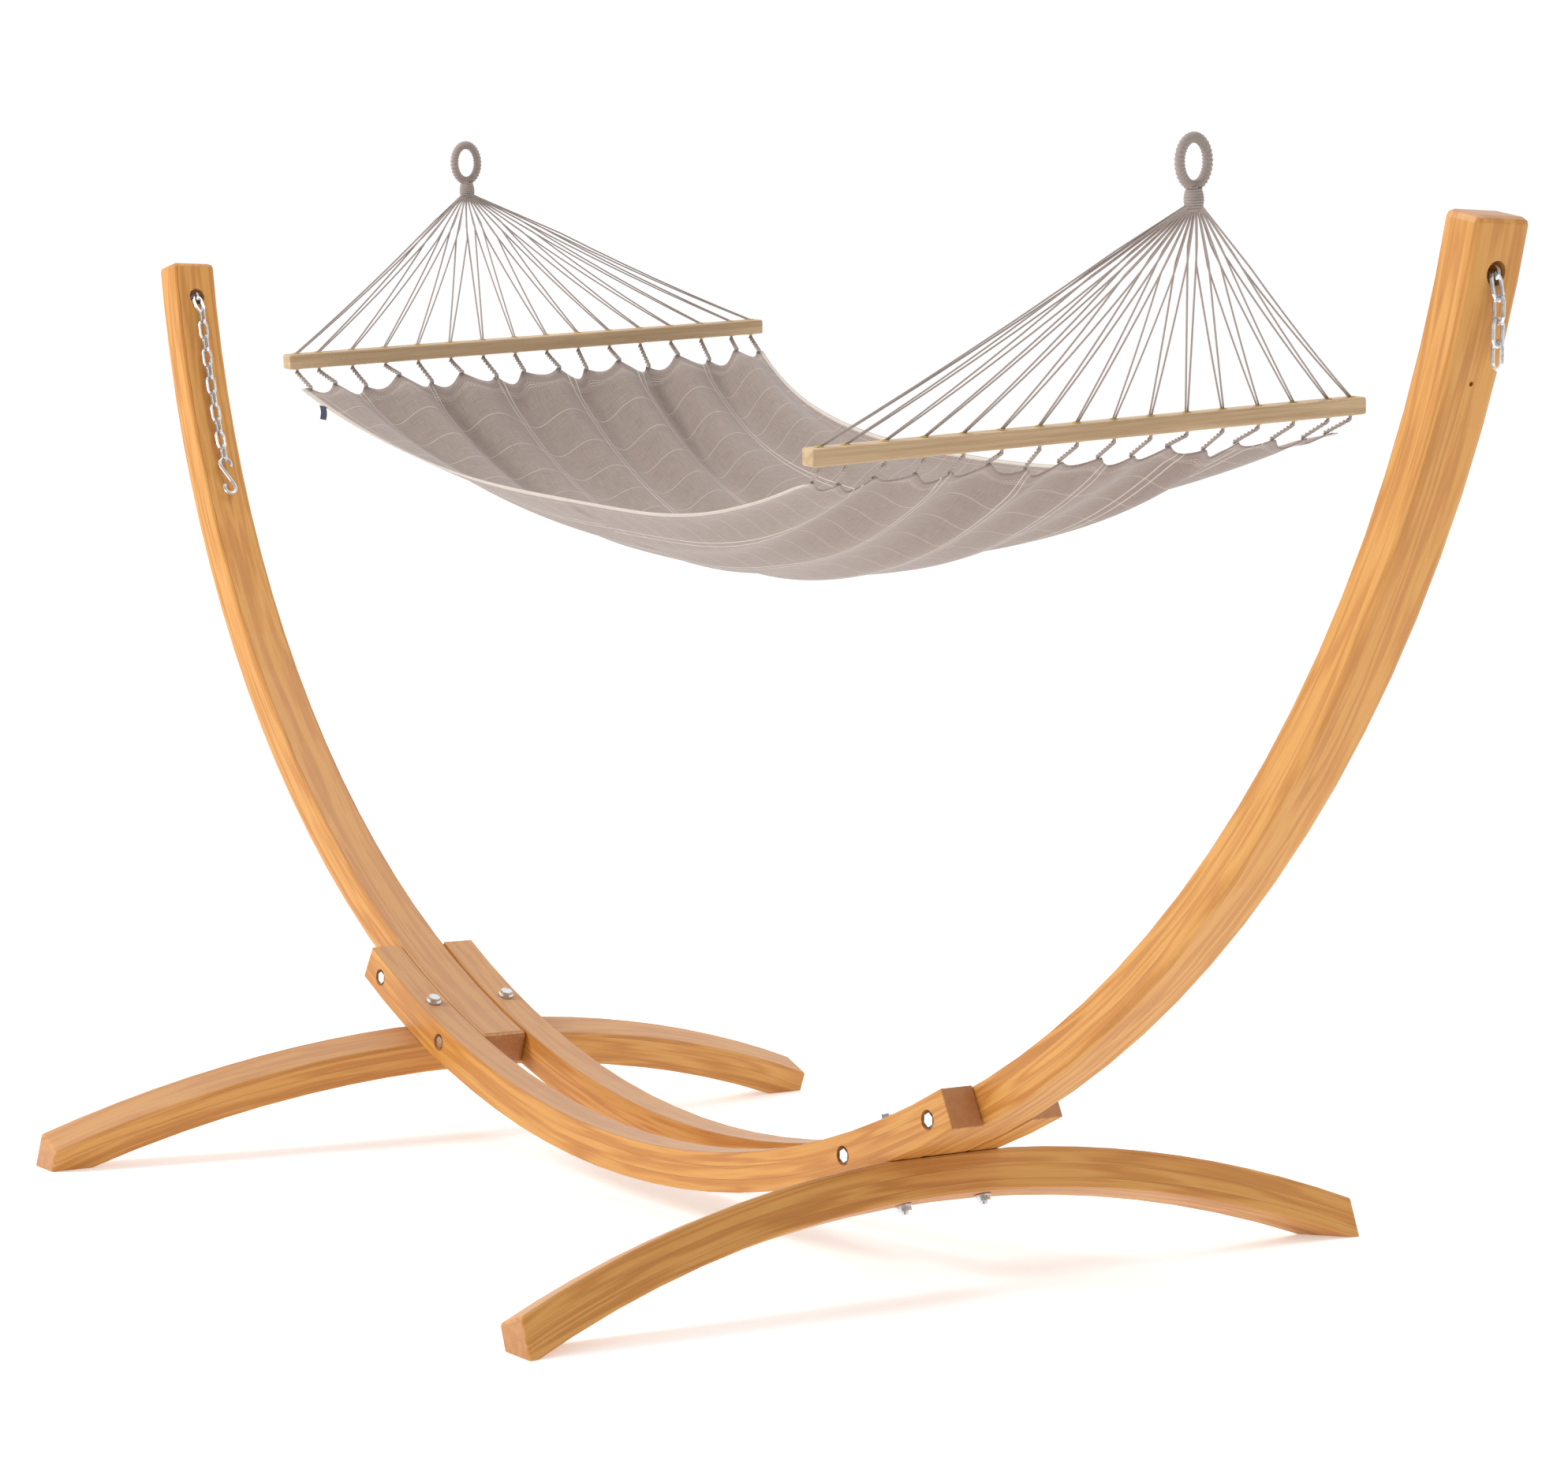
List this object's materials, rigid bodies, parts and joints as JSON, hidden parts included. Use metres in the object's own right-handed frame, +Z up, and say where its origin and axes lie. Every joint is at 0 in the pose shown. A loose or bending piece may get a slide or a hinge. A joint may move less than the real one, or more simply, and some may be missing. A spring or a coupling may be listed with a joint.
{
  "type": "hammock on stand",
  "caption": "Arc stand of bent laminated timber on two arched cross feet, with a fabric bar hammock between its arms and loose chains with S-hooks",
  "frame": {"origin": "middle of the footprint, on the floor under the stand", "axes": "+X along the stand's length towards the near arm, +Y across it away from the picture's camera, +Z up"},
  "size_m": [3.2014, 1.362, 1.5547],
  "materials": {
    "larch_timber": "oiled laminated larch, satin",
    "bar_wood": "pale hardwood, matt",
    "zinc_steel": "bright zinc plated",
    "taupe_cord": "twisted weatherproof cord",
    "taupe_cloth": "woven taupe cloth with thin cream lines"
  },
  "bodies": {
    "stand": {"front_rail": "larch_timber", "back_rail": "larch_timber", "far_arm": "larch_timber", "far_foot": "larch_timber", "far_bore_pin": "zinc_steel", "far_bore_link": "zinc_steel", "far_lower_cross_bolt": "zinc_steel", "far_upper_cross_bolt": "zinc_steel", "far_lower_cross_nut": "zinc_steel", "far_upper_cross_nut": "zinc_steel", "far_front_foot_bolt": "zinc_steel", "far_back_foot_bolt": "zinc_steel", "far_front_foot_nut": "zinc_steel", "far_back_foot_nut": "zinc_steel", "near_arm": "larch_timber", "near_foot": "larch_timber", "near_bore_pin": "zinc_steel", "near_bore_link": "zinc_steel", "near_lower_cross_bolt": "zinc_steel", "near_upper_cross_bolt": "zinc_steel", "near_lower_cross_nut": "zinc_steel", "near_upper_cross_nut": "zinc_steel", "near_front_foot_bolt": "zinc_steel", "near_back_foot_bolt": "zinc_steel", "near_front_foot_nut": "zinc_steel", "near_back_foot_nut": "zinc_steel"},
    "far_chain_upper": {"far_chain_link_01": "zinc_steel", "far_chain_link_02": "zinc_steel", "far_chain_link_03": "zinc_steel", "far_chain_link_04": "zinc_steel", "far_chain_link_05": "zinc_steel", "far_chain_link_06": "zinc_steel"},
    "far_chain_lower": {"far_chain_link_07": "zinc_steel", "far_chain_link_08": "zinc_steel", "far_chain_link_09": "zinc_steel", "far_chain_link_10": "zinc_steel", "far_chain_link_11": "zinc_steel", "far_chain_link_12": "zinc_steel"},
    "far_hook": {"far_s_hook": "zinc_steel"},
    "far_chain_tail": {"far_tail_link_1": "zinc_steel", "far_tail_link_2": "zinc_steel"},
    "near_chain_upper": {"near_chain_link_01": "zinc_steel", "near_chain_link_02": "zinc_steel", "near_chain_link_03": "zinc_steel", "near_chain_link_04": "zinc_steel", "near_chain_link_05": "zinc_steel", "near_chain_link_06": "zinc_steel"},
    "near_hook": {"near_s_hook": "zinc_steel"},
    "near_chain_tail": {"near_tail_link_1": "zinc_steel", "near_tail_link_2": "zinc_steel", "near_tail_link_3": "zinc_steel", "near_tail_link_4": "zinc_steel"},
    "hammock": {"far_spreader_bar": "bar_wood", "near_spreader_bar": "bar_wood", "far_loop": "taupe_cord", "near_loop": "taupe_cord", "far_cords": "taupe_cord", "near_cords": "taupe_cord", "bed_cloth": "taupe_cloth"}
  },
  "joints": [
    {"name": "far_chain_swing", "type": "hinge", "parent": "stand", "child": "far_chain_upper", "pos_m": [-1.53395, 0, 1.31786], "axis": [0, -1, 0], "range_deg": [0, 45]},
    {"name": "far_chain_fold", "type": "hinge", "parent": "far_chain_upper", "child": "far_chain_lower", "pos_m": [-1.48083, 0, 1.17975], "axis": [0, -1, 0], "range_deg": [0, 60]},
    {"name": "far_hook_swing", "type": "hinge", "parent": "far_chain_lower", "child": "far_hook", "pos_m": [-1.42695, 0, 1.04036], "axis": [0, -1, 0], "range_deg": [0, 60]},
    {"name": "far_tail_swing", "type": "hinge", "parent": "stand", "child": "far_chain_tail", "pos_m": [-1.58403, 0, 1.3063], "axis": [0, 1, 0], "range_deg": [0, 60]},
    {"name": "near_chain_swing", "type": "hinge", "parent": "stand", "child": "near_chain_upper", "pos_m": [1.53395, 0, 1.31786], "axis": [0, 1, 0], "range_deg": [0, 45]},
    {"name": "near_hook_swing", "type": "hinge", "parent": "near_chain_upper", "child": "near_hook", "pos_m": [1.48098, 0, 1.18023], "axis": [0, 1, 0], "range_deg": [0, 60]},
    {"name": "near_tail_swing", "type": "hinge", "parent": "stand", "child": "near_chain_tail", "pos_m": [1.58403, 0, 1.3063], "axis": [0, -1, 0], "range_deg": [0, 60]},
    {"name": "hammock_swing", "type": "hinge", "parent": "stand", "child": "hammock", "pos_m": [0.21967, -0.00797, 1.47985], "axis": [0.9956, -0.0834, -0.0421], "range_deg": [-25, 25]}
  ]
}
